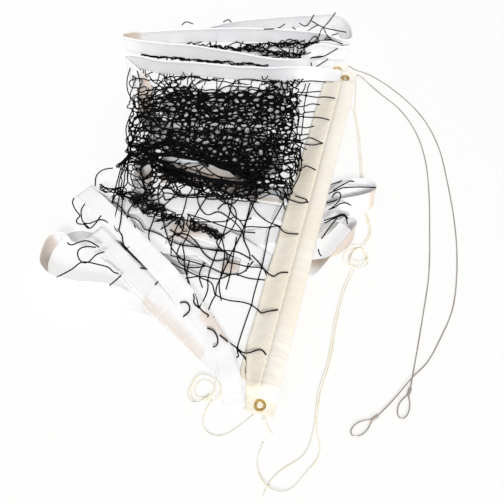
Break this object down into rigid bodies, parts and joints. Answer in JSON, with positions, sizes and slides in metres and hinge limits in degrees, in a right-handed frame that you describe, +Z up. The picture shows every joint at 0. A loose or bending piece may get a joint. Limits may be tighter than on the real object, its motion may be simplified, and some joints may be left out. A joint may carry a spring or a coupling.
{
  "type": "volleyball_net",
  "caption": "Folded volleyball net: black netting heaped between white head and bottom tapes, cream side bands with rods, brass grommets, steel cable tails and tie cords",
  "frame": {"origin": "centre of the net's footprint, cords and cables left out, on the ground", "axes": "+Z up, +X towards the end with the side bands, +Y towards the head tape"},
  "size_m": [1.0049, 1.3952, 0.0635],
  "materials": {
    "white_tape": "satin",
    "cream_canvas": "matte",
    "black_twine": "matte",
    "wood": "matte",
    "brass": "worn",
    "steel_cable": "worn",
    "cotton_cord": "matte"
  },
  "bodies": {
    "net": {"head_tape_front": "white_tape", "head_tape_inner": "white_tape", "head_tape_middle": "white_tape", "head_tape_back": "white_tape", "head_tape_end": "white_tape", "head_patch_front": "cream_canvas", "head_patch_back": "cream_canvas", "net_front": "black_twine", "net_pile_lower": "black_twine", "net_pile_middle": "black_twine", "net_pile_upper": "black_twine", "bottom_tape_front": "white_tape", "bottom_tape_middle": "white_tape", "bottom_tape_folds": "white_tape", "bottom_tape_loops": "white_tape", "bottom_tape_left": "white_tape", "bottom_tape_back": "white_tape", "side_band_front": "cream_canvas", "side_band_back": "cream_canvas", "head_grommet_front": "brass", "head_grommet_back": "brass", "foot_grommet_front": "brass", "foot_grommet_back": "brass", "cable_tail_front": "steel_cable", "cable_tail_back": "steel_cable", "ferrule_front": "steel_cable", "ferrule_back": "steel_cable", "cable_eye_front": "steel_cable", "cable_eye_back": "steel_cable", "top_lead_left": "cotton_cord", "top_lead_right": "cotton_cord", "top_cord_bundle": "cotton_cord", "top_tail_left": "cotton_cord", "top_tail_right": "cotton_cord", "bottom_cord_knot": "cotton_cord", "bottom_cord_tail": "cotton_cord", "bottom_cord_lead": "cotton_cord", "bottom_cord_coil": "cotton_cord"},
    "rod_front": {"rod_front": "wood"},
    "rod_back": {"rod_back": "wood"}
  },
  "joints": [
    {"name": "rod_front_slide", "type": "slide", "parent": "net", "child": "rod_front", "axis": [0.2656, 0.9641, 0], "range_m": [0, 0.94]},
    {"name": "rod_back_slide", "type": "slide", "parent": "net", "child": "rod_back", "axis": [0.2656, 0.9641, 0], "range_m": [0, 0.94]}
  ]
}
